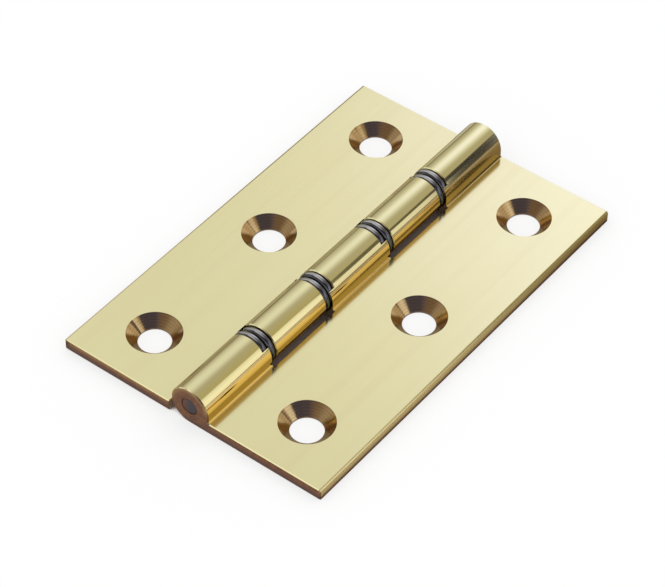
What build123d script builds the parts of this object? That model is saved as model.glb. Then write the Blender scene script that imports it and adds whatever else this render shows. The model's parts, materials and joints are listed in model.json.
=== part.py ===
"""Brass butt hinge with a pair of steel washers at each knuckle joint, lying open on its back."""
import os
from math import cos, radians, sin, tan

from build123d import *

# Leaves: X runs across the open hinge, Y along the pin and Z up from the leaf backs, in millimetres
leaf_length = 76.0
open_width = 50.0
leaf_thickness = 2.0
long_edge_round = 0.4
edge_break = 0.15

# Knuckles: the barrel is tangent to the leaf's back, and its root bulges towards the leaf
knuckle_diameter = 7.0
knuckle_count = 5
end_knuckle_extra = 0.5
root_angle = 35.0
root_offset = 0.15
root_fillet = 0.3
notch_clearance = 0.5
web_gap = 0.2

# Pin: pressed into one leaf, running in the other
pin_diameter = 3.0
pin_recess = 0.05
pin_chamfer = 0.15
running_clearance = 0.05

# Washers: each floats on the pin and leans to one side, at an angle from the crest towards +X
washer_thickness = 1.3
washer_inset = 0.1
washer_rim_chamfer = 0.35
washer_bore_clearance = 0.15
washer_shift = 0.1
washer_play = 0.05
washer_lean_angles = (-60.0, 110.0, 100.0, -30.0, -70.0, 20.0, 60.0, -20.0)
seat_relief = 0.02

# Screw holes: countersunk almost to the back, in one row along each leaf
screws_per_leaf = 3
screw_hole_diameter = 5.4
screw_edge_margin = 10.0
screw_end_margin = 9.6
countersink_angle = 90.0
countersink_land = 0.2

# Room for cutters to run clear of the solid, and the tolerance for picking edges by place
cutter_run_out = 1.0
pick_tolerance = 0.001

# Places that follow from the sizes above
knuckle_radius = knuckle_diameter / 2
pin_height = knuckle_radius
pin_radius = pin_diameter / 2
pin_axis = Axis((0, 0, pin_height), (0, 1, 0))
half_length = leaf_length / 2
half_width = open_width / 2
notch_edge = knuckle_radius + notch_clearance
joint_pitch = (leaf_length - 2 * end_knuckle_extra) / knuckle_count
joint_planes = [(joint - knuckle_count / 2) * joint_pitch for joint in range(1, knuckle_count)]
span_ends = [-half_length, *joint_planes, half_length]
knuckle_spans = list(zip(span_ends[:-1], span_ends[1:]))
seat_radius = knuckle_radius + seat_relief
seat_face = washer_thickness + washer_play / 2

# The root's arc leaves the barrel at root_angle and ends upright on the flank
flank_x = knuckle_radius + root_offset
root_lean = radians(root_angle)
root_radius = (flank_x - knuckle_radius * sin(root_lean)) / (1 - sin(root_lean))
root_centre_x = (knuckle_radius - root_radius) * sin(root_lean)
root_centre_z = pin_height + (knuckle_radius - root_radius) * cos(root_lean)
root_corner_round = min(root_fillet, (root_centre_z - leaf_thickness) / 2)

# Screw hole places and the countersink that the leaf's thickness leaves room for
screw_x = half_width - screw_edge_margin
screw_pitch = 2 * (half_length - screw_end_margin) / (screws_per_leaf - 1)
screw_rows = [(screw - (screws_per_leaf - 1) / 2) * screw_pitch for screw in range(screws_per_leaf)]
screw_hole_radius = screw_hole_diameter / 2
countersink_depth = leaf_thickness - countersink_land
countersink_radius = screw_hole_radius + countersink_depth * tan(radians(countersink_angle / 2))


def section_plane(side):
    """The plane across the pin, with its local x from the pin towards the leaf on that side."""
    return Plane(origin=(0, 0, 0), x_dir=(side, 0, 0), z_dir=(0, -side, 0))


def widened(span):
    """A knuckle's span with the gap to the next web, run out past the leaf's ends."""
    return [end + sign * (cutter_run_out if abs(end) == half_length else web_gap / 2)
            for end, sign in zip(span, (-1, 1))]


def build_leaf(side, own_spans, other_spans, bore_radius):
    """One leaf: a drawn section, notched for the other leaf's knuckles, bored, seated and drilled."""
    with BuildPart() as leaf:
        with BuildSketch(section_plane(side)):
            with BuildLine():
                Polyline(
                    (0, 0),
                    (half_width, 0),
                    (half_width, leaf_thickness),
                    (flank_x, leaf_thickness),
                    (flank_x, root_centre_z),
                )
                CenterArc((root_centre_x, root_centre_z), root_radius, 0, 90 - root_angle)
                CenterArc((0, pin_height), knuckle_radius, 90 - root_angle, 180 + root_angle)
            profile = make_face()
            outer_corner = profile.vertices().group_by(Axis.X)[-1].sort_by(Axis.Y)[-1]
            fillet(outer_corner, long_edge_round)
            root_corner = vertices().sort_by_distance((flank_x, leaf_thickness))[0]
            fillet(root_corner, root_corner_round)
        extrude(amount=half_length, both=True)

        # Notches for the other leaf's knuckles
        notch_width = notch_edge + knuckle_radius + cutter_run_out
        notch_height = knuckle_diameter + 2 * cutter_run_out
        for low, high in map(widened, other_spans):
            with Locations((side * (notch_edge - notch_width / 2), (low + high) / 2, pin_height)):
                Box(notch_width, high - low, notch_height, mode=Mode.SUBTRACT)

        # Pin bore through every knuckle
        with Locations((0, 0, pin_height)):
            Cylinder(bore_radius, leaf_length, rotation=(90, 0, 0), mode=Mode.SUBTRACT)

        # Washer seats: spot faces round the pin, which break the knuckle's rim and leave its root standing
        for span in own_spans:
            for end, inward in zip(span, (1, -1)):
                if abs(end) < half_length:
                    mouth = end + inward * web_gap / 2
                    floor = end + inward * seat_face
                    rim = floor + inward * (edge_break + seat_relief)
                    with BuildSketch(Plane.XY.offset(pin_height)):
                        with BuildLine():
                            Polyline(
                                (0, mouth),
                                (seat_radius, mouth),
                                (seat_radius, rim),
                                (knuckle_radius - edge_break, floor),
                                (0, floor),
                                close=True,
                            )
                        make_face()
                    revolve(axis=pin_axis, mode=Mode.SUBTRACT)

        # Countersunk screw holes
        with Locations(*[(side * screw_x, row, leaf_thickness) for row in screw_rows]):
            CounterSinkHole(
                radius=screw_hole_radius,
                counter_sink_radius=countersink_radius,
                counter_sink_angle=countersink_angle,
            )

        # Broken edges round both cut ends and along the notches
        end_faces = [leaf.faces().sort_by(Axis.Y)[place] for place in (0, -1)]
        chamfer([edge for face in end_faces for edge in face.outer_wire().edges()], edge_break)
        along_notches = leaf.edges().filter_by(Axis.Y).filter_by_position(
            Axis.X, side * notch_edge - pick_tolerance, side * notch_edge + pick_tolerance
        )
        chamfer(along_notches.group_by(Axis.Z)[-1], edge_break)
    return leaf


def build_pin():
    """The steel pin, its chamfered ends just inside the end knuckles."""
    with BuildPart() as pin:
        with Locations((0, 0, pin_height)):
            Cylinder(pin_radius, leaf_length - 2 * pin_recess, rotation=(90, 0, 0))
        chamfer(pin.edges().filter_by(GeomType.CIRCLE), pin_chamfer)
    return pin


def build_washer(middle, lean):
    """A washer with chamfered rims on the pin, shifted within its bore's clearance."""
    lean_angle = radians(lean)
    place = (washer_shift * sin(lean_angle), middle, pin_height + washer_shift * cos(lean_angle))
    with BuildPart() as washer:
        with Locations(place):
            Cylinder(knuckle_radius - washer_inset, washer_thickness, rotation=(90, 0, 0))
            chamfer(washer.edges().filter_by(GeomType.CIRCLE), washer_rim_chamfer)
            Cylinder(
                pin_radius + washer_bore_clearance,
                washer_thickness,
                rotation=(90, 0, 0),
                mode=Mode.SUBTRACT,
            )
    return washer


os.makedirs("parts", exist_ok=True)

three_knuckle_leaf = build_leaf(1, knuckle_spans[0::2], knuckle_spans[1::2], pin_radius)
three_knuckle_leaf.part.label = "three_knuckle_leaf"
export_step(three_knuckle_leaf.part, "parts/three_knuckle_leaf.step")

two_knuckle_leaf = build_leaf(-1, knuckle_spans[1::2], knuckle_spans[0::2], pin_radius + running_clearance)
two_knuckle_leaf.part.label = "two_knuckle_leaf"
export_step(two_knuckle_leaf.part, "parts/two_knuckle_leaf.step")

hinge_pin = build_pin()
hinge_pin.part.label = "hinge_pin"
export_step(hinge_pin.part, "parts/hinge_pin.step")

# Two washers at each joint, one on either side of the plane where they slip
washer_middles = [
    plane + side * (washer_play + washer_thickness) / 2 for plane in joint_planes for side in (-1, 1)
]
for number, middle in enumerate(washer_middles, start=1):
    washer = build_washer(middle, washer_lean_angles[(number - 1) % len(washer_lean_angles)])
    washer.part.label = f"washer_{number}"
    export_step(washer.part, f"parts/washer_{number}.step")
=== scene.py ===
"""Washered butt hinge: finishes, washers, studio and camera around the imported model."""
import json
from math import cos, pi, radians, sin

import bmesh
import bpy
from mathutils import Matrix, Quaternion, Vector


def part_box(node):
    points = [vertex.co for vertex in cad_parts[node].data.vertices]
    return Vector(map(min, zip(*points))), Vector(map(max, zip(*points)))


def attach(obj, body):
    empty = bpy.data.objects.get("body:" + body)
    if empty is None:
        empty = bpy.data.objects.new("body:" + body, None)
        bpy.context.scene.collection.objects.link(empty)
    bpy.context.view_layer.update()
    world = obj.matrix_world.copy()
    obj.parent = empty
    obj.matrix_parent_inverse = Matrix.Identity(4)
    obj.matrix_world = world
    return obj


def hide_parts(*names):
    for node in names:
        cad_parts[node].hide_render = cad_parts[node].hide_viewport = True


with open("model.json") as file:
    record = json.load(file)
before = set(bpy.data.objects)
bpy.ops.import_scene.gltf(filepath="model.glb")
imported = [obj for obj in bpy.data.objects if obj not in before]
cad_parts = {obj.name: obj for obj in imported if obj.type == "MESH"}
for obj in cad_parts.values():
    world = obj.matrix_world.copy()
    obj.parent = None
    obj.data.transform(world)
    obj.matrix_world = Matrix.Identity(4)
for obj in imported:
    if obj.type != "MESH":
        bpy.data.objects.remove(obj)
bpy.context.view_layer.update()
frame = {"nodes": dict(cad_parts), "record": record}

MM = 0.001
DEGREES = 180 / pi

# Sizes that the finishes follow, in millimetres, as in the part's own frame
HALF_LENGTH = 38.0
HALF_WIDTH = 25.0
LEAF_THICKNESS = 2.0
PIN_HEIGHT = 3.5
KNUCKLE_RADIUS = 3.5
SCREW_X = 15.0
SCREW_PITCH = 28.4
COUNTERSINK_RADIUS = 4.50


# Node helpers

def plug(tree, socket, value):
    """Links a socket to another node's output, or sets its constant."""
    if isinstance(value, bpy.types.NodeSocket):
        tree.links.new(value, socket)
    else:
        socket.default_value = value


def calc(tree, operation, *values):
    """A Math node."""
    node = tree.nodes.new("ShaderNodeMath")
    node.operation = operation
    for socket, value in zip(node.inputs, values):
        plug(tree, socket, value)
    return node.outputs[0]


def product(tree, *values):
    """The product of two or more numbers."""
    result = values[0]
    for value in values[1:]:
        result = calc(tree, "MULTIPLY", result, value)
    return result


def largest(tree, *values):
    """The largest of two or more numbers."""
    result = values[0]
    for value in values[1:]:
        result = calc(tree, "MAXIMUM", result, value)
    return result


def from_axis(tree, first, second):
    """The distance from an axis, by the two measures across it."""
    squares = calc(tree, "ADD", product(tree, first, first), product(tree, second, second))
    return calc(tree, "SQRT", squares)


def rise(tree, value, low, high):
    """0 below low, 1 above high and a smooth step between; low may be the larger."""
    node = tree.nodes.new("ShaderNodeMapRange")
    node.interpolation_type = "SMOOTHSTEP"
    plug(tree, node.inputs["Value"], value)
    if low < high:
        limits = (low, high, 0.0, 1.0)
    else:
        limits = (high, low, 1.0, 0.0)
    for name, limit in zip(("From Min", "From Max", "To Min", "To Max"), limits):
        node.inputs[name].default_value = limit
    return node.outputs["Result"]


def scaled(tree, value, low, high):
    """A 0 to 1 value stretched to run from low to high."""
    node = tree.nodes.new("ShaderNodeMapRange")
    plug(tree, node.inputs["Value"], value)
    node.inputs["To Min"].default_value = low
    node.inputs["To Max"].default_value = high
    return node.outputs["Result"]


def blend(tree, factor, first, second):
    """A mix of two colours."""
    node = tree.nodes.new("ShaderNodeMix")
    node.data_type = "RGBA"
    plug(tree, node.inputs[0], factor)
    for socket, value in zip((node.inputs[6], node.inputs[7]), (first, second)):
        plug(tree, socket, value if isinstance(value, bpy.types.NodeSocket) else (*value, 1.0))
    return node.outputs[2]


def lerp(tree, factor, first, second):
    """A mix of two numbers."""
    node = tree.nodes.new("ShaderNodeMix")
    plug(tree, node.inputs[0], factor)
    plug(tree, node.inputs[2], first)
    plug(tree, node.inputs[3], second)
    return node.outputs[0]


def stretched(tree, vector, factors):
    """A vector times a constant vector."""
    node = tree.nodes.new("ShaderNodeVectorMath")
    node.operation = "MULTIPLY"
    plug(tree, node.inputs[0], vector)
    node.inputs[1].default_value = factors
    return node.outputs[0]


def noise(tree, vector, scale, detail, roughness):
    """Noise from 0 to 1."""
    node = tree.nodes.new("ShaderNodeTexNoise")
    plug(tree, node.inputs["Vector"], vector)
    node.inputs["Scale"].default_value = scale
    node.inputs["Detail"].default_value = detail
    node.inputs["Roughness"].default_value = roughness
    return node.outputs["Fac"]


def split(tree, vector):
    """A vector's three parts."""
    node = tree.nodes.new("ShaderNodeSeparateXYZ")
    plug(tree, node.inputs[0], vector)
    return node.outputs


def toward(tree, vector, direction):
    """The angle in degrees between a unit vector and a direction."""
    node = tree.nodes.new("ShaderNodeVectorMath")
    node.operation = "DOT_PRODUCT"
    plug(tree, node.inputs[0], vector)
    node.inputs[1].default_value = Vector(direction).normalized()
    return product(tree, calc(tree, "ARCCOSINE", node.outputs["Value"]), DEGREES)


def bump(tree, height, distance, normal=None):
    """A normal tilted by a height, where distance is the height of 1 in metres."""
    node = tree.nodes.new("ShaderNodeBump")
    plug(tree, node.inputs["Height"], height)
    node.inputs["Distance"].default_value = distance
    node.inputs["Strength"].default_value = 1.0
    if normal is not None:
        plug(tree, node.inputs["Normal"], normal)
    return node.outputs["Normal"]


def new_material(name):
    """A node material with its shader, and places on the piece in millimetres."""
    material = bpy.data.materials.new(name)
    material.use_nodes = True
    tree = material.node_tree
    shader = tree.nodes["Principled BSDF"]
    where = tree.nodes.new("ShaderNodeTexCoord")
    place = stretched(tree, where.outputs["Object"], (1 / MM, 1 / MM, 1 / MM))
    return material, tree, shader, place, where.outputs["Normal"]


# Brass of the leaves

BRASS = (0.815, 0.76, 0.445)
BRASS_WARM = (0.80, 0.735, 0.415)
BRASS_STREAK = (0.76, 0.685, 0.39)
STREAK_SHARE = 0.35
# Painted shade and reflection: the flank, root and rim colours below
BRASS_FLANK_SHADE = (0.44, 0.39, 0.20)
BRASS_ROOT_REFLECTION = (0.79, 0.54, 0.17)
BRASS_ROOT_REFLECTION_FAR = (0.58, 0.40, 0.14)
RIM_SHADE_BRASS = (0.42, 0.33, 0.155)
NOTCH_BRASS = (0.66, 0.52, 0.50)
EDGE_BRASS = (0.56, 0.43, 0.18)
# Painted highlight and shade on the rounds of the long edges
ROUND_NEAR_HIGHLIGHT = (0.80, 0.70, 0.40)
ROUND_FAR_SHADE = (0.44, 0.37, 0.15)
SAWN_BRASS = (0.225, 0.10, 0.044)
SAWN_DARK = (0.14, 0.06, 0.032)
# Painted shade at the foot of the sawn ends and a painted highlight on their rims
SAWN_FOOT_SHADE = (0.10, 0.052, 0.043)
SAWN_RIM_HIGHLIGHT = (0.36, 0.215, 0.08)
SAWN_RIM_HIGHLIGHT_SHARE = 0.7

# Turning marks and polishing lines: pitches and heights in millimetres, the wander in radians
TURNED_BRASS = (0.52, 0.36, 0.185)
TURNED_MARK = (0.36, 0.23, 0.11)
MARK_SHARE = 0.5
MARK_PITCH = 0.34
MARK_WANDER = 6.0
RING_PITCH = 0.16
RING_HEIGHT = 0.0010
LINE_HEIGHT = 0.0012

LEAF_ROUGH = (0.11, 0.19)
BARREL_ROUGH = (0.04, 0.10)
TURNED_ROUGH = 0.13
RUBBED_ROUGH = 0.20
ROUND_ROUGH = 0.28
SAWN_ROUGH = 0.42
RUBBED_LEAN = 0.42


def brass_surfaces(tree, place, normal):
    """Masks for each kind of surface on a leaf and for its painted shade, highlights and reflections, by
    name, and the distance from the nearest screw's axis.
    """
    x, y, z = split(tree, place)
    _, ny, nz = split(tree, normal)
    across = calc(tree, "ABSOLUTE", x)
    along = calc(tree, "ABSOLUTE", y)
    on = {}

    # Long edges with their rounds, sawn ends and the walls of the notches
    upright = rise(tree, calc(tree, "ABSOLUTE", nz), 0.3, 0.1)
    at_end = rise(tree, along, HALF_LENGTH - 0.17, HALF_LENGTH - 0.15)
    inside = rise(tree, across, HALF_WIDTH - 0.4, HALF_WIDTH - 0.8)
    in_leaf = rise(tree, z, LEAF_THICKNESS + 0.02, LEAF_THICKNESS - 0.02)
    on["edge"] = rise(tree, across, HALF_WIDTH - 0.06, HALF_WIDTH - 0.02)
    on["rounded"] = rise(tree, across, HALF_WIDTH - 0.40, HALF_WIDTH - 0.36)
    on["sawn"] = product(tree, at_end, upright)
    on["notch"] = product(tree, inside, upright, in_leaf)

    # Countersinks
    hole_x = calc(tree, "SUBTRACT", across, SCREW_X)
    hole_y = calc(tree, "WRAP", y, -SCREW_PITCH / 2, SCREW_PITCH / 2)
    from_screw = from_axis(tree, hole_x, hole_y)
    in_sink = rise(tree, from_screw, COUNTERSINK_RADIUS + 0.01, COUNTERSINK_RADIUS - 0.03)
    on["turned"] = product(tree, in_sink, rise(tree, z, 0.01, 0.03))

    # Barrel, its root with a painted reflection, its left flank with painted shade, and the rubbed corners of
    # the knuckles' ends, whose right part has painted shade
    near_pin = rise(tree, across, 4.3, 3.9)
    on["barrel"] = product(tree, near_pin, rise(tree, z, LEAF_THICKNESS, LEAF_THICKNESS + 0.03))
    on["root"] = product(tree, on["barrel"], rise(tree, z, 5.7, 4.6))
    on["flank"] = product(tree, on["barrel"], rise(tree, x, -1.8, -2.6), rise(tree, y, 28.0, -22.0))
    tilt = calc(tree, "ABSOLUTE", ny)
    slanted = product(tree, rise(tree, tilt, 0.15, 0.25), rise(tree, tilt, 0.95, 0.85))
    on["rubbed"] = product(tree, slanted, calc(tree, "SUBTRACT", 1.0, on["turned"]))
    on["worn"] = product(tree, on["rubbed"], on["barrel"], rise(tree, x, -0.3, 1.0))

    # Brighter rims of the sawn ends, a painted highlight round the top of the barrel's ends and along the top
    # of the left leaf's ends
    from_pin = from_axis(tree, x, calc(tree, "SUBTRACT", z, PIN_HEIGHT))
    near_rim = rise(tree, from_pin, KNUCKLE_RADIUS - 1.1, KNUCKLE_RADIUS)
    barrel_rim = product(tree, near_rim, rise(tree, z, 2.5, 4.5))
    near_top = product(tree, rise(tree, z, 0.9, 1.9), rise(tree, x, 10.0, -10.0))
    leaf_rim = product(tree, near_top, rise(tree, across, 3.6, 5.0))
    on["sawn_rim"] = largest(tree, barrel_rim, leaf_rim)
    return on, from_screw


def brass_colour(tree, place, on, from_screw):
    """The brass's colour, from the polished leaf to its turned, dull and sawn places, with painted shade,
    highlights and reflections on the barrel, the edges and the sawn ends.
    """
    _, y, z = split(tree, place)
    cloud = noise(tree, stretched(tree, place, (1.0, 0.35, 1.0)), 0.09, 2.0, 0.5)
    streaks = noise(tree, stretched(tree, place, (1.0, 0.03, 1.0)), 0.45, 3.0, 0.55)
    grime = noise(tree, place, 1.1, 4.0, 0.6)

    # Polished leaf and barrel
    colour = blend(tree, scaled(tree, cloud, -0.2, 1.1), BRASS, BRASS_WARM)
    streaked = product(tree, rise(tree, streaks, 0.45, 0.75), STREAK_SHARE)
    colour = blend(tree, streaked, colour, BRASS_STREAK)
    # Painted shade: darker brass on the barrel's left flank, most towards the near end
    colour = blend(tree, on["flank"], colour, BRASS_FLANK_SHADE)
    # Painted reflection: deeper gold low on the barrel, duller on the far knuckle
    root_colour = blend(tree, rise(tree, y, 20.0, 27.0), BRASS_ROOT_REFLECTION, BRASS_ROOT_REFLECTION_FAR)
    colour = blend(tree, on["root"], colour, root_colour)
    # Painted shade: darker rubbed rims on the right part of the knuckles' ends
    colour = blend(tree, on["worn"], colour, RIM_SHADE_BRASS)

    # Turned countersinks, whose marks wander a little
    wander = product(tree, grime, MARK_WANDER)
    ripple = calc(tree, "ADD", product(tree, from_screw, 2 * pi / MARK_PITCH), wander)
    marks = scaled(tree, calc(tree, "SINE", ripple), 0.0, MARK_SHARE)
    colour = blend(tree, on["turned"], colour, blend(tree, marks, TURNED_BRASS, TURNED_MARK))

    # Long edges, notches and sawn ends
    # Painted highlight and shade: the rounds of the long edges are light at the near end and dark at the far
    # end
    round_light_and_shade = blend(tree, rise(tree, y, -25.0, 20.0), ROUND_NEAR_HIGHLIGHT, ROUND_FAR_SHADE)
    colour = blend(tree, on["rounded"], colour, round_light_and_shade)
    # Painted shade: the long edges darken to sawn brown towards the bottom
    edge_colour_shaded_low = blend(tree, rise(tree, z, 0.15, 1.1), SAWN_BRASS, EDGE_BRASS)
    colour = blend(tree, on["edge"], colour, edge_colour_shaded_low)
    colour = blend(tree, on["notch"], colour, NOTCH_BRASS)
    sawn_colour = blend(tree, rise(tree, grime, 0.25, 0.8), SAWN_DARK, SAWN_BRASS)
    # Painted highlight: brighter rims on the sawn ends
    rim_highlight = product(tree, on["sawn_rim"], SAWN_RIM_HIGHLIGHT_SHARE)
    sawn_colour = blend(tree, rim_highlight, sawn_colour, SAWN_RIM_HIGHLIGHT)
    # Painted shade: the sawn ends darken towards the bottom
    sawn_colour = blend(tree, rise(tree, z, 1.1, 0.2), sawn_colour, SAWN_FOOT_SHADE)
    return blend(tree, on["sawn"], colour, sawn_colour)


def brass_roughness(tree, on, lines):
    """Smoothest on the barrel, dullest where the brass is sawn."""
    leaf_rough = scaled(tree, lines, *LEAF_ROUGH)
    barrel_rough = scaled(tree, lines, *BARREL_ROUGH)
    rough = lerp(tree, on["barrel"], leaf_rough, barrel_rough)
    rough = lerp(tree, on["turned"], rough, TURNED_ROUGH)
    rough = lerp(tree, on["rubbed"], rough, RUBBED_ROUGH)
    rough = lerp(tree, on["rounded"], rough, ROUND_ROUGH)
    return lerp(tree, largest(tree, on["sawn"], on["edge"], on["notch"]), rough, SAWN_ROUGH)


def brass_facing(tree, normal, on, from_screw, lines):
    """Facing with turning rings and polishing lines; rubbed corners lean as a small round does."""
    rings = calc(tree, "SINE", product(tree, from_screw, 2 * pi / RING_PITCH))
    ringed = bump(tree, product(tree, rings, on["turned"]), RING_HEIGHT * MM)
    surface = bump(tree, lines, LINE_HEIGHT * MM, ringed)
    leaning = tree.nodes.new("ShaderNodeVectorTransform")
    leaning.vector_type = "NORMAL"
    leaning.convert_from = "OBJECT"
    leaning.convert_to = "WORLD"
    plug(tree, leaning.inputs[0], stretched(tree, normal, (1.0, RUBBED_LEAN, 1.0)))
    facing = tree.nodes.new("ShaderNodeMix")
    facing.data_type = "VECTOR"
    plug(tree, facing.inputs[0], on["rubbed"])
    plug(tree, facing.inputs[4], surface)
    plug(tree, facing.inputs[5], leaning.outputs[0])
    return facing.outputs[1]


def brass_material():
    """Polished brass with fine lines along the leaf, sawn ends, dull edges and turned countersinks."""
    material, tree, shader, place, normal = new_material("polished_brass_finish")
    on, from_screw = brass_surfaces(tree, place, normal)
    lines = noise(tree, stretched(tree, place, (1.0, 0.025, 1.0)), 1.6, 4.0, 0.6)
    plug(tree, shader.inputs["Base Color"], brass_colour(tree, place, on, from_screw))
    plug(tree, shader.inputs["Roughness"], brass_roughness(tree, on, lines))
    plug(tree, shader.inputs["Normal"], brass_facing(tree, normal, on, from_screw, lines))
    shader.inputs["Metallic"].default_value = 1.0
    return material


# Steel of the washers and the pin

WASHER_LIGHT = (0.82, 0.79, 0.74)
WASHER_DARK = (0.32, 0.315, 0.315)
# The next colour is painted shade on the washers' flanks, right side and lower part
WASHER_SHADE = (0.15, 0.15, 0.175)
WASHER_ROUGH = (0.07, 0.21)
WASHER_LINE_HEIGHT = 0.0006
# Painted shade on the near washers, the front flanks and low down, and the heights where the low shade starts
# and ends
NEAR_SHADE = 0.55
FRONT_SHADE = 0.8
LOW_SHADE = 0.6
LOW_SHADE_TOP = 6.9
LOW_SHADE_BOTTOM = 4.2
PIN_BROWN = (0.13, 0.06, 0.042)
PIN_GREY = (0.058, 0.050, 0.054)
PIN_SMEAR = 1.6
PIN_ROUGH = 0.40


def shaded(colour, factor):
    """A colour made darker."""
    return tuple(factor * part for part in colour)


def washer_material():
    """Turned steel, darker in its fine lines, with painted shade on its flanks, its right side, the near
    washers and low down.
    """
    material, tree, shader, place, normal = new_material("washer_steel_finish")
    _, y, z = split(tree, place)
    nx, ny, _ = split(tree, normal)
    lines = noise(tree, stretched(tree, place, (0.3, 6.0, 0.3)), 1.5, 3.0, 0.6)
    spots = noise(tree, place, 1.4, 4.0, 0.6)
    # Painted shade: the near washers' light tone is darker
    bright = blend(tree, rise(tree, y, -26.0, 2.0), shaded(WASHER_LIGHT, NEAR_SHADE), WASHER_LIGHT)
    colour = blend(tree, product(tree, lines, spots), WASHER_DARK, bright)
    # Painted shade: the washers' flanks that face the ends, and their right side, take a dark colour that is
    # darker on the front flank
    to_front = rise(tree, ny, -0.30, -0.50)
    flank_colour = blend(tree, to_front, WASHER_SHADE, shaded(WASHER_SHADE, FRONT_SHADE))
    to_end = rise(tree, calc(tree, "ABSOLUTE", ny), 0.30, 0.65)
    to_right = rise(tree, nx, 0.15, 0.50)
    colour = blend(tree, largest(tree, to_end, to_right), colour, flank_colour)
    # Painted shade: darker low down
    shaded_low = rise(tree, z, LOW_SHADE_TOP, LOW_SHADE_BOTTOM)
    colour = blend(tree, shaded_low, colour, shaded(WASHER_SHADE, LOW_SHADE))
    plug(tree, shader.inputs["Base Color"], colour)
    plug(tree, shader.inputs["Roughness"], scaled(tree, spots, *WASHER_ROUGH))
    plug(tree, shader.inputs["Normal"], bump(tree, lines, WASHER_LINE_HEIGHT * MM))
    shader.inputs["Metallic"].default_value = 1.0
    return material


def pin_material():
    """Cropped steel, smeared with brass on one side."""
    material, tree, shader, place, _ = new_material("pin_steel_finish")
    x = split(tree, place)[0]
    cloud = noise(tree, place, 0.9, 3.0, 0.6)
    smear = rise(tree, calc(tree, "ADD", x, product(tree, cloud, PIN_SMEAR)), -0.4, 1.1)
    plug(tree, shader.inputs["Base Color"], blend(tree, smear, PIN_BROWN, PIN_GREY))
    shader.inputs["Roughness"].default_value = PIN_ROUGH
    shader.inputs["Metallic"].default_value = 1.0
    return material


def give(node, material):
    """Puts a finish into a node's material slots."""
    for place in node.material_slots:
        place.material = material


brass = brass_material()
washer_steel = washer_material()
pin_steel = pin_material()
for name, node in frame["nodes"].items():
    if name == "hinge_pin":
        give(node, pin_steel)
    elif not name.startswith("washer"):
        give(node, brass)


# Washers: turned rings with rounded rims, in place of the chamfered ones, in millimetres

WASHER_BORE = 1.65
RIM_ROUND = 0.60
RIM_STEPS = 8
BORE_BREAK = 0.12
WASHER_SEGMENTS = 96
SHARP_ANGLE = 40


def washer_profile(outer, thickness):
    """Places (radius, along the pin) round the washer's section, from the bore's one edge to the other."""
    half = thickness / 2
    turns = [radians(90 * step / RIM_STEPS) for step in range(RIM_STEPS + 1)]
    rim = [(outer - RIM_ROUND + RIM_ROUND * sin(turn), half * cos(turn)) for turn in turns]
    upper = [*reversed(rim), (WASHER_BORE + BORE_BREAK, half), (WASHER_BORE, half - BORE_BREAK)]
    lower = [(radius, -along) for radius, along in reversed(upper[1:])]
    return lower + upper


def washer_piece(node):
    """A lathed washer where the node is."""
    low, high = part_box(node)
    middle = (low + high) / 2
    profile = washer_profile((high.x - low.x) / 2 / MM, (high.y - low.y) / MM)
    shape = bmesh.new()
    rings = []
    for segment in range(WASHER_SEGMENTS):
        turn = 2 * pi * segment / WASHER_SEGMENTS
        rings.append([
            shape.verts.new((middle.x + r * MM * sin(turn), middle.y + v * MM, middle.z + r * MM * cos(turn)))
            for r, v in profile
        ])
    count = len(profile)
    for segment, ring in enumerate(rings):
        following = rings[(segment + 1) % WASHER_SEGMENTS]
        for place in range(count):
            after = (place + 1) % count
            face = shape.faces.new((ring[place], ring[after], following[after], following[place]))
            face.smooth = True
    bmesh.ops.recalc_face_normals(shape, faces=shape.faces)
    mesh = bpy.data.meshes.new(node + "_turned")
    shape.to_mesh(mesh)
    shape.free()
    mesh.set_sharp_from_angle(angle=radians(SHARP_ANGLE))
    piece = bpy.data.objects.new(node + "_turned", mesh)
    bpy.context.scene.collection.objects.link(piece)
    mesh.materials.append(washer_steel)
    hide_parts(node)
    return piece


for body, members in frame["record"]["behaviour"]["bodies"].items():
    for node in members:
        if node.startswith("washer"):
            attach(washer_piece(node), body)


# Studio: pale floor, plain white world, and a card mat and a light tent that only the metal sees, in metres

FLOOR_HALF = 3.0
FLOOR_DROP = 0.00005
FLOOR_PALE = (0.36, 0.36, 0.36)
# Painted shade colour of the floor under the hinge
FLOOR_UNDER_SHADE = (0.31, 0.235, 0.22)
FLOOR_LIFT = 0.64
OPEN_REACH = 0.012


def stage_object(name, mesh_maker, material):
    """A stage piece from a bmesh filled by mesh_maker."""
    mesh = bpy.data.meshes.new(name)
    shape = bmesh.new()
    mesh_maker(shape)
    shape.to_mesh(mesh)
    shape.free()
    made = bpy.data.objects.new(name, mesh)
    bpy.context.scene.collection.objects.link(made)
    mesh.materials.append(material)
    return made


def stage_material(name):
    """A matt node material and its shader."""
    material = bpy.data.materials.new(name)
    material.use_nodes = True
    shader = material.node_tree.nodes["Principled BSDF"]
    shader.inputs["Roughness"].default_value = 1.0
    shader.inputs["Specular IOR Level"].default_value = 0.0
    return material, material.node_tree, shader


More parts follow.
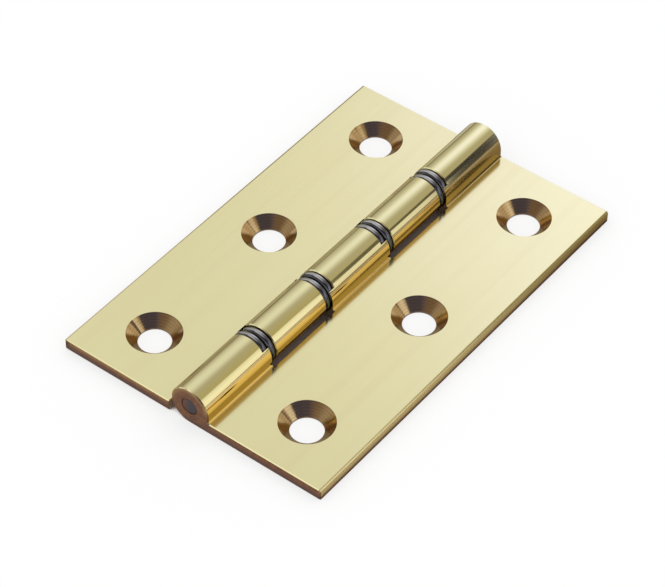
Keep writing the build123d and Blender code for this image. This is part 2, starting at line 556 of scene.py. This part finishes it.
def floor_material():
    """Pale floor, lifted to white for the camera, the metal and glass, which keeps its shadows; where the
    hinge hides it, it is painted a darker brown and loses its lift.
    """
    material, tree, shader = stage_material("studio_floor")
    path = tree.nodes.new("ShaderNodeLightPath")
    rays = ("Is Camera Ray", "Is Glossy Ray", "Is Transmission Ray")
    seen = largest(tree, *[path.outputs[ray] for ray in rays])
    open_sky = tree.nodes.new("ShaderNodeAmbientOcclusion")
    open_sky.inputs["Distance"].default_value = OPEN_REACH
    lit = rise(tree, open_sky.outputs["AO"], 0.2, 0.5)
    # Painted shade: where ambient occlusion finds the floor hidden under the hinge, it turns a darker brown
    # and its lift to white fades out
    plug(tree, shader.inputs["Base Color"], blend(tree, lit, FLOOR_UNDER_SHADE, FLOOR_PALE))
    shader.inputs["Emission Color"].default_value = (1.0, 1.0, 1.0, 1.0)
    plug(tree, shader.inputs["Emission Strength"], product(tree, lit, FLOOR_LIFT, seen))
    return material


def floor_mesh(shape):
    """One large triangle round the hinge."""
    corners = [(-4, -2), (4, -2), (0, 6)]
    shape.faces.new([shape.verts.new((FLOOR_HALF * i, FLOOR_HALF * j, 0)) for i, j in corners])


floor = stage_object("studio_floor", floor_mesh, floor_material())
floor.location.z = -FLOOR_DROP

world = bpy.data.worlds.new("studio_white")
world.use_nodes = True
background = world.node_tree.nodes["Background"]
background.inputs["Color"].default_value = (1.0, 1.0, 1.0, 1.0)
background.inputs["Strength"].default_value = 1.0
bpy.context.scene.world = world


# Tent: directions from the hinge, levels and tints of its parts

TENT_RADIUS = 0.6
TENT_RINGS = 24
TENT_SEGMENTS = 64

KEY_TOWARD = (-0.177, 0.818, 0.547)
KEY_SPREAD = 31.8
KEY_LEVEL = 0.935
SIDE_TOWARD = (-0.597, 0.250, 0.763)
SIDE_SPREAD = 44.0
SIDE_LEVEL = 0.444
PLAIN_LEVEL = 0.506
LEFT_FOOT_LEVEL = 0.30
FRONT_LEVELS = (0.55, 0.26)
PALE_LEVEL = 0.88
OVERHEAD_TOWARD = (-0.36, -0.18, 0.91)
OVERHEAD_LEVEL = 1.15

# The strip's edge by its angle round the pin, in degrees
STRIP_BEGIN = 50.3
STRIP_FAR_DROP = 10.0
STRIP_NEAR_DROP = 5.5
STRIP_LEVELS = (0.95, 1.12)
STRIP_FAR_LEVEL = 0.94
STRIP_NEAR_LEVEL = 1.20
GAP_LEVELS = (0.15, 0.03)
BEHIND_LEVELS = (0.75, 1.0)
FAR_END_LEVEL = 1.0
SKIRT_LEVELS = (0.50, 0.22)
HORIZON_LEVEL = 0.9
FAR_HORIZON_LEVEL = 0.33
OPENING_TOWARD = (0.75, -0.19, 0.63)
ROOM_TOWARD = (0.53, -0.52, 0.665)
DARK_LEVEL = 0.105

DIM_TINT = (1.0, 0.89, 0.66)
PLAIN_TINT = (1.0, 1.0, 0.98)
BRIGHT_TINT = (1.0, 1.01, 1.22)
RIGHT_TINT = (1.0, 0.885, 0.52)
FRONT_TINT = (1.0, 0.94, 0.84)
FRONT_HIGH_TINT = (1.0, 0.82, 0.68)
PALE_TINT = (1.0, 1.0, 0.98)
OVERHEAD_TINT = (1.0, 0.99, 0.96)
GAP_TINT = (1.0, 0.90, 1.05)
STRIP_TINT = (1.0, 0.955, 0.86)
STRIP_NEAR_TINT = (1.0, 1.08, 1.12)
FAR_HORIZON_TINT = (1.0, 0.74, 0.42)
DARK_TINT = (1.0, 1.05, 1.9)


def tent_parts(tree, direction, round_pin):
    """Masks for the tent's parts, by name, along a direction at an angle round the pin."""
    x, y, z = split(tree, direction)
    part = {
        "key": rise(tree, toward(tree, direction, KEY_TOWARD), KEY_SPREAD, 0.0),
        "side": rise(tree, toward(tree, direction, SIDE_TOWARD), SIDE_SPREAD, 0.0),
        "left_foot": rise(tree, round_pin, -66.0, -92.0),
        "overhead": rise(tree, toward(tree, direction, OVERHEAD_TOWARD), 20.0, 10.0),
    }

    # The dim front, darker higher up
    part["front"] = product(tree, rise(tree, y, 0.05, -0.35), rise(tree, z, 0.15, 0.45))
    part["front_high"] = rise(tree, z, 0.48, 0.60)

    # Pale from straight above and round the foot of the tent, away from the lens
    above = rise(tree, toward(tree, direction, (0.0, 0.0, 1.0)), 38.0, 18.0)
    zenith = product(tree, above, rise(tree, y, 0.40, 0.15))
    front_foot = rise(tree, y, -0.80, -0.92)
    right_foot = product(tree, rise(tree, y, -0.30, -0.50), rise(tree, z, 0.42, 0.30))
    right_foot = product(tree, right_foot, rise(tree, x, -0.10, 0.10))
    left_corner = product(tree, rise(tree, y, -0.45, -0.60), rise(tree, z, 0.34, 0.26))
    left_side = product(tree, rise(tree, x, -0.55, -0.75), rise(tree, y, -0.22, -0.08))
    left_side = product(tree, left_side, rise(tree, y, 0.42, 0.30))
    part["pale"] = largest(tree, zenith, front_foot, left_corner, right_foot, left_side)

    # The strip light to the right, whose far part starts lower and leaves a dark gap
    right = rise(tree, round_pin, 45.5, 48.5)
    far_drop = product(tree, rise(tree, y, 0.53, 0.565), STRIP_FAR_DROP)
    near_drop = product(tree, rise(tree, y, 0.40, 0.10), STRIP_NEAR_DROP)
    begin = calc(tree, "ADD", calc(tree, "ADD", STRIP_BEGIN, far_drop), near_drop)
    past_begin = rise(tree, calc(tree, "SUBTRACT", round_pin, begin), -1.2, 1.2)
    part["gap"] = product(tree, right, rise(tree, y, 0.535, 0.555))
    part["strip"] = product(tree, past_begin, rise(tree, y, 0.630, 0.620), rise(tree, y, -0.25, -0.10))
    part["near_strip"] = rise(tree, y, 0.46, 0.40)

    # The foot of the tent, just above the floor
    part["skirt"] = product(tree, rise(tree, z, 0.10, 0.08), rise(tree, y, 0.90, 0.84))
    part["horizon"] = product(tree, rise(tree, z, 0.05, 0.035), right)
    part["far_horizon"] = product(tree, part["horizon"], rise(tree, y, 0.52, 0.56), rise(tree, y, 0.85, 0.75))

    # The opening that the lens looks in through, and the dark room beside it
    opening = rise(tree, toward(tree, direction, OPENING_TOWARD), 18.2, 16.6)
    room = rise(tree, toward(tree, direction, ROOM_TOWARD), 38.0, 6.0)
    part["dark"] = largest(tree, opening, product(tree, room, rise(tree, z, 0.54, 0.63)))
    return part


def gap_level(tree, y, z):
    """The gap beside the strip, and the tent behind it."""
    level = scaled(tree, rise(tree, y, 0.617, 0.632), *GAP_LEVELS)
    behind = scaled(tree, rise(tree, z, 0.36, 0.42), *BEHIND_LEVELS)
    level = lerp(tree, rise(tree, y, 0.658, 0.672), level, behind)
    return lerp(tree, rise(tree, y, 0.86, 0.92), level, FAR_END_LEVEL)


def strip_level(tree, y, round_pin, near_strip):
    """The strip, brighter lower down and towards its near end."""
    level = scaled(tree, rise(tree, round_pin, 50.0, 70.0), *STRIP_LEVELS)
    level = lerp(tree, rise(tree, y, 0.54, 0.56), level, STRIP_FAR_LEVEL)
    return lerp(tree, near_strip, level, STRIP_NEAR_LEVEL)


def tent_level(tree, direction, round_pin, part):
    """How strongly the tent glows."""
    _, y, z = split(tree, direction)
    key = product(tree, part["key"], KEY_LEVEL)
    side = product(tree, part["side"], SIDE_LEVEL)
    level = calc(tree, "ADD", calc(tree, "ADD", key, side), PLAIN_LEVEL)
    level = lerp(tree, part["left_foot"], level, LEFT_FOOT_LEVEL)
    level = lerp(tree, part["front"], level, scaled(tree, part["front_high"], *FRONT_LEVELS))
    level = lerp(tree, part["pale"], level, PALE_LEVEL)
    level = lerp(tree, part["overhead"], level, OVERHEAD_LEVEL)
    level = lerp(tree, part["gap"], level, gap_level(tree, y, z))
    level = lerp(tree, part["strip"], level, strip_level(tree, y, round_pin, part["near_strip"]))
    level = lerp(tree, part["skirt"], level, scaled(tree, rise(tree, y, 0.30, 0.40), *SKIRT_LEVELS))
    level = lerp(tree, part["horizon"], level, HORIZON_LEVEL)
    level = lerp(tree, part["far_horizon"], level, FAR_HORIZON_LEVEL)
    return lerp(tree, part["dark"], level, DARK_LEVEL)


def tent_tint(tree, direction, round_pin, part, level):
    """Dim parts of the tent are warm, bright ones cool, and the strip is nearly white."""
    y = split(tree, direction)[1]
    tint = blend(tree, rise(tree, level, 0.25, 0.85), DIM_TINT, PLAIN_TINT)
    tint = blend(tree, rise(tree, level, 0.85, 1.13), tint, BRIGHT_TINT)
    less_far = scaled(tree, rise(tree, y, 0.53, 0.57), 1.0, 0.45)
    tint = blend(tree, product(tree, rise(tree, round_pin, 0.0, 40.0), less_far), tint, RIGHT_TINT)
    front_tint = blend(tree, part["front_high"], FRONT_TINT, FRONT_HIGH_TINT)
    tint = blend(tree, part["front"], tint, front_tint)
    tint = blend(tree, part["pale"], tint, PALE_TINT)
    tint = blend(tree, part["overhead"], tint, OVERHEAD_TINT)
    in_gap = product(tree, part["gap"], rise(tree, y, 0.61, 0.63), rise(tree, y, 0.68, 0.665))
    tint = blend(tree, in_gap, tint, GAP_TINT)
    tint = blend(tree, part["strip"], tint, blend(tree, part["near_strip"], STRIP_TINT, STRIP_NEAR_TINT))
    tint = blend(tree, part["far_horizon"], tint, FAR_HORIZON_TINT)
    return blend(tree, part["dark"], tint, DARK_TINT)


def tent_material():
    """The tent's glow: a soft key behind, a strip to the right, dim sides and the opening for the lens."""
    material = bpy.data.materials.new("studio_tent")
    material.use_nodes = True
    tree = material.node_tree
    tree.nodes.remove(tree.nodes["Principled BSDF"])
    glow = tree.nodes.new("ShaderNodeEmission")
    tree.links.new(glow.outputs[0], tree.nodes["Material Output"].inputs["Surface"])
    where = tree.nodes.new("ShaderNodeTexCoord")
    unit = tree.nodes.new("ShaderNodeVectorMath")
    unit.operation = "NORMALIZE"
    tree.links.new(where.outputs["Object"], unit.inputs[0])
    direction = unit.outputs[0]
    x, _, z = split(tree, direction)
    round_pin = product(tree, calc(tree, "ARCTAN2", x, z), DEGREES)
    part = tent_parts(tree, direction, round_pin)
    level = tent_level(tree, direction, round_pin, part)
    plug(tree, glow.inputs["Strength"], level)
    plug(tree, glow.inputs["Color"], tent_tint(tree, direction, round_pin, part, level))
    return material


def tent_mesh(shape):
    """A dome that stands on the floor."""
    bmesh.ops.create_uvsphere(shape, u_segments=TENT_SEGMENTS, v_segments=2 * TENT_RINGS, radius=TENT_RADIUS)
    below = [vertex for vertex in shape.verts if vertex.co.z < -TENT_RADIUS / TENT_SEGMENTS]
    bmesh.ops.delete(shape, geom=below, context="VERTS")


# Mat: brown card under and behind the hinge

MAT_LEFT = -0.55
MAT_RIGHT = 0.16
MAT_BACK = 0.30
MAT_EDGE = 0.0252
MAT_FRONT = -0.0375
MAT_SIDE_FRONT = -0.06
MAT_DROP = 0.00002
MAT_NEAR = (0.34, 0.285, 0.19)
MAT_FAR_LEFT = (0.58, 0.55, 0.50)
MAT_FAR_RIGHT = (0.40, 0.38, 0.36)
MAT_PALE = (0.92, 0.92, 0.90)


def mat_material():
    """Brown card, paler behind the hinge and to its right, lit as it lies."""
    material, tree, shader = stage_material("studio_mat")
    where = tree.nodes.new("ShaderNodeTexCoord")
    x, y, _ = split(tree, where.outputs["Object"])
    far = blend(tree, rise(tree, x, -0.01, 0.02), MAT_FAR_LEFT, MAT_FAR_RIGHT)
    colour = blend(tree, rise(tree, y, 0.036, 0.055), MAT_NEAR, far)
    to_right = product(tree, rise(tree, x, 0.0250, 0.0256), rise(tree, y, 0.040, -0.010))
    plug(tree, shader.inputs["Base Color"], blend(tree, to_right, colour, MAT_PALE))
    return material


def mat_mesh(shape):
    """A card that stops at the hinge's near end and runs on beside it."""
    corners = [
        (MAT_LEFT, MAT_SIDE_FRONT),
        (-MAT_EDGE, MAT_SIDE_FRONT),
        (-MAT_EDGE, MAT_FRONT),
        (MAT_EDGE, MAT_FRONT),
        (MAT_EDGE, MAT_SIDE_FRONT),
        (MAT_RIGHT, MAT_SIDE_FRONT),
        (MAT_RIGHT, MAT_BACK),
        (MAT_LEFT, MAT_BACK),
    ]
    shape.faces.new([shape.verts.new((x, y, 0)) for x, y in corners])


mat = stage_object("studio_mat", mat_mesh, mat_material())
mat.location.z = -MAT_DROP
tent = stage_object("studio_tent", tent_mesh, tent_material())
for only_reflected in (mat, tent):
    only_reflected.visible_camera = False
    only_reflected.visible_diffuse = False
    only_reflected.visible_shadow = False
    only_reflected.visible_volume_scatter = False


# Camera

CAMERA_AT = Vector((190.506, -255.478, 319.552)) * MM
CAMERA_AIM = Vector((1.411, -4.590, 2.045)) * MM
CAMERA_ROLL = 0.989
LENS_MM = 154.05
SENSOR_MM = 36.0

camera_data = bpy.data.cameras.new("camera")
camera_data.sensor_width = SENSOR_MM
camera_data.lens = LENS_MM
camera_data.clip_start = 0.01
camera_data.clip_end = 10.0
camera = bpy.data.objects.new("camera", camera_data)
bpy.context.scene.collection.objects.link(camera)
camera.location = CAMERA_AT
camera.rotation_mode = "QUATERNION"
aim = (CAMERA_AIM - CAMERA_AT).to_track_quat("-Z", "Y")
camera.rotation_quaternion = aim @ Quaternion((0.0, 0.0, 1.0), radians(CAMERA_ROLL))
bpy.context.scene.camera = camera

bpy.context.scene.view_settings.view_transform = "Standard"
